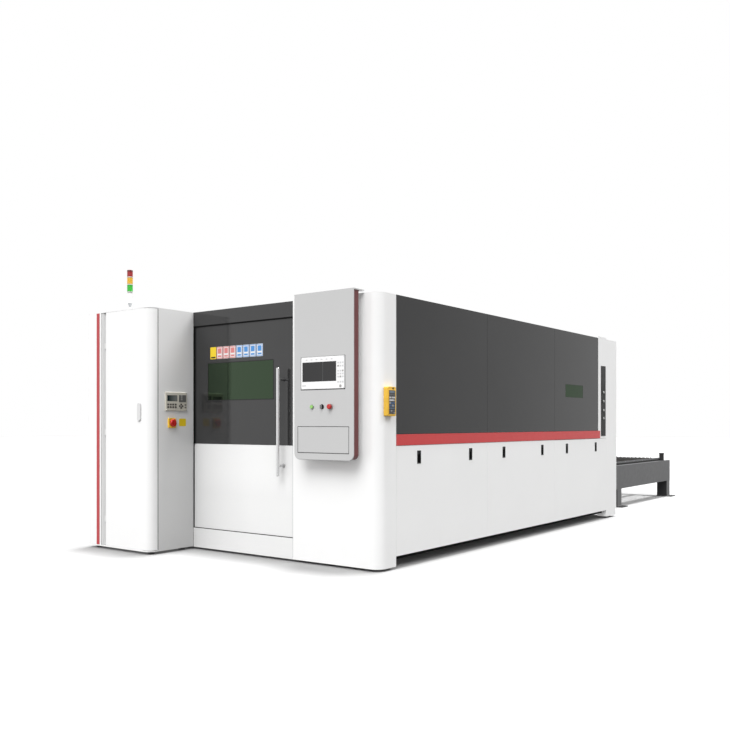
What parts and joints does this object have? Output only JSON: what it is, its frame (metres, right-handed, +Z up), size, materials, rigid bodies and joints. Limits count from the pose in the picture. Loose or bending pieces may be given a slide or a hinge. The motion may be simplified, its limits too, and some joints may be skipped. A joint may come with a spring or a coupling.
{
  "type": "enclosed fibre laser sheet cutting machine",
  "caption": "Enclosed sheet-metal laser cutting machine with sliding front door, hanging operator console, side cabinet with signal tower and a rear pallet exchange table.",
  "frame": {"origin": "centre of the bounding box, on the floor", "axes": "+Z up; -Y towards the operator at the front door, +Y along the machine to the exchange table; +X to the right of the operator facing the door"},
  "size_m": [3.176, 9.384, 2.699],
  "materials": {
    "white_paint": "satin powder coat",
    "dark_gloss": "gloss",
    "red_paint": "satin",
    "dark_red_paint": "satin",
    "bed_paint": "matt",
    "zinc_steel": "zinc plated",
    "ground_steel": "ground",
    "galvanised_sheet": "galvanised",
    "green_glazing": "tinted laser glazing",
    "grey_aluminium": "anodised",
    "grey_paint": "satin",
    "beige_plastic": "fine texture",
    "yellow_plastic": "gloss",
    "yellow_rubber": "soft touch",
    "light_grey_plastic": "satin",
    "lens_green": "translucent",
    "lens_amber": "translucent",
    "lens_red": "translucent",
    "console_grey": "satin powder coat",
    "bezel_white": "satin",
    "display_dark": "gloss screen",
    "black_plastic": "satin",
    "table_grey": "satin",
    "steel_tube": "brushed stainless",
    "latch_grey": "satin chrome",
    "button_green": "gloss",
    "button_red": "gloss",
    "button_pale": "gloss",
    "gantry_paint": "satin",
    "slat_steel": "mill scale"
  },
  "bodies": {
    "machine": {"bed_frame": "bed_paint", "levelling_feet": "zinc_steel", "x_guides": "ground_steel", "scrap_trays": "galvanised_sheet", "roof_panel": "white_paint", "front_right_pillar": "white_paint", "front_header": "dark_gloss", "front_sill": "white_paint", "right_upper_panel_front": "dark_gloss", "right_upper_panel_middle": "dark_gloss", "right_upper_panel_rear": "dark_gloss", "right_window": "green_glazing", "red_trim": "red_paint", "rear_right_column": "white_paint", "left_side_panels": "white_paint", "rear_wall": "white_paint", "cabinet_shell": "white_paint", "cabinet_hinge_post": "grey_aluminium", "laser_source": "grey_paint", "side_controller": "beige_plastic", "side_estop_box": "yellow_plastic", "stack_light_base": "light_grey_plastic", "stack_light_green": "lens_green", "stack_light_amber": "lens_amber", "stack_light_red": "lens_red", "console_housing": "console_grey", "console_side_band": "dark_red_paint", "screen_bezel": "bezel_white", "display_glass": "display_dark", "remote_pendant": "yellow_rubber", "button_strip": "black_plastic", "table_frame": "table_grey"},
    "front_door": {"door_leaf": "white_paint", "door_dark_skin": "dark_gloss", "door_window": "green_glazing", "door_handle": "steel_tube"},
    "cabinet_door": {"cabinet_door": "white_paint"},
    "cabinet_latch": {"cabinet_latch": "latch_grey"},
    "keyboard_flap": {"keyboard_flap": "console_grey"},
    "start_button": {"start_button": "button_green"},
    "key_switch": {"key_switch": "black_plastic"},
    "console_estop": {"console_estop": "button_red"},
    "side_estop_button": {"side_estop_button": "button_red"},
    "exchange_button_1": {"exchange_button_1": "button_pale"},
    "exchange_button_2": {"exchange_button_2": "button_pale"},
    "exchange_button_3": {"exchange_button_3": "button_pale"},
    "exchange_button_4": {"exchange_button_4": "button_pale"},
    "side_panel_front": {"right_lower_panel_front": "white_paint", "panel_grips_front": "black_plastic"},
    "side_panel_middle": {"right_lower_panel_middle": "white_paint", "panel_grips_middle": "black_plastic"},
    "side_panel_rear": {"right_lower_panel_rear": "white_paint", "panel_grips_rear": "black_plastic"},
    "gantry": {"gantry_beam": "gantry_paint"},
    "carriage": {"y_carriage": "grey_paint"},
    "cutting_head": {"cutting_head": "grey_aluminium"},
    "pallet_a": {"pallet_a": "table_grey", "pallet_a_slats": "slat_steel"},
    "pallet_b": {"pallet_b": "table_grey", "pallet_b_slats": "slat_steel"}
  },
  "joints": [
    {"name": "front_door_slide", "type": "slide", "parent": "machine", "child": "front_door", "axis": [-1, 0, 0], "range_m": [0, 0.88]},
    {"name": "cabinet_door_hinge", "type": "hinge", "parent": "machine", "child": "cabinet_door", "pos_m": [-1.328, -4.665, 1.152], "axis": [0, 0, -1], "range_deg": [0, 105]},
    {"name": "cabinet_latch_turn", "type": "hinge", "parent": "cabinet_door", "child": "cabinet_latch", "pos_m": [-0.8105, -4.678, 1.367], "axis": [0, 1, 0], "range_deg": [0, 90]},
    {"name": "keyboard_flap_fold", "type": "hinge", "parent": "machine", "child": "keyboard_flap", "pos_m": [1.069, -4.295, 0.966], "axis": [1, 0, 0], "range_deg": [0, 90]},
    {"name": "start_button_press", "type": "slide", "parent": "machine", "child": "start_button", "axis": [0, 1, 0], "range_m": [0, 0.004], "stiffness_N_per_m": 600},
    {"name": "key_switch_turn", "type": "hinge", "parent": "machine", "child": "key_switch", "pos_m": [1.062, -4.299, 1.343], "axis": [0, -1, 0], "range_deg": [0, 60]},
    {"name": "console_estop_press", "type": "slide", "parent": "machine", "child": "console_estop", "axis": [0, 1, 0], "range_m": [0, 0.006], "stiffness_N_per_m": 900},
    {"name": "side_estop_press", "type": "slide", "parent": "machine", "child": "side_estop_button", "axis": [-1, 0, 0], "range_m": [0, 0.005], "stiffness_N_per_m": 900},
    {"name": "exchange_button_1_press", "type": "slide", "parent": "machine", "child": "exchange_button_1", "axis": [-1, 0, 0], "range_m": [0, 0.004], "stiffness_N_per_m": 600},
    {"name": "exchange_button_2_press", "type": "slide", "parent": "machine", "child": "exchange_button_2", "axis": [-1, 0, 0], "range_m": [0, 0.004], "stiffness_N_per_m": 600},
    {"name": "exchange_button_3_press", "type": "slide", "parent": "machine", "child": "exchange_button_3", "axis": [-1, 0, 0], "range_m": [0, 0.004], "stiffness_N_per_m": 600},
    {"name": "exchange_button_4_press", "type": "slide", "parent": "machine", "child": "exchange_button_4", "axis": [-1, 0, 0], "range_m": [0, 0.004], "stiffness_N_per_m": 600},
    {"name": "side_panel_front_lift_off", "type": "slide", "parent": "machine", "child": "side_panel_front", "axis": [1, 0, 0], "range_m": [0, 0.4]},
    {"name": "side_panel_middle_lift_off", "type": "slide", "parent": "machine", "child": "side_panel_middle", "axis": [1, 0, 0], "range_m": [0, 0.4]},
    {"name": "side_panel_rear_lift_off", "type": "slide", "parent": "machine", "child": "side_panel_rear", "axis": [1, 0, 0], "range_m": [0, 0.4]},
    {"name": "gantry_travel", "type": "slide", "parent": "machine", "child": "gantry", "axis": [0, 1, 0], "range_m": [0, 3]},
    {"name": "carriage_travel", "type": "slide", "parent": "gantry", "child": "carriage", "axis": [1, 0, 0], "range_m": [-0.75, 0.75]},
    {"name": "head_travel", "type": "slide", "parent": "carriage", "child": "cutting_head", "axis": [0, 0, 1], "range_m": [-0.14, 0]},
    {"name": "pallet_a_travel", "type": "slide", "parent": "machine", "child": "pallet_a", "axis": [0, 1, 0], "range_m": [0, 4.59]},
    {"name": "pallet_b_travel", "type": "slide", "parent": "machine", "child": "pallet_b", "axis": [0, -1, 0], "range_m": [0, 4.59]}
  ],
  "couplings": [
    {"joint": "pallet_b_travel", "follows": "pallet_a_travel", "ratio": 1}
  ]
}
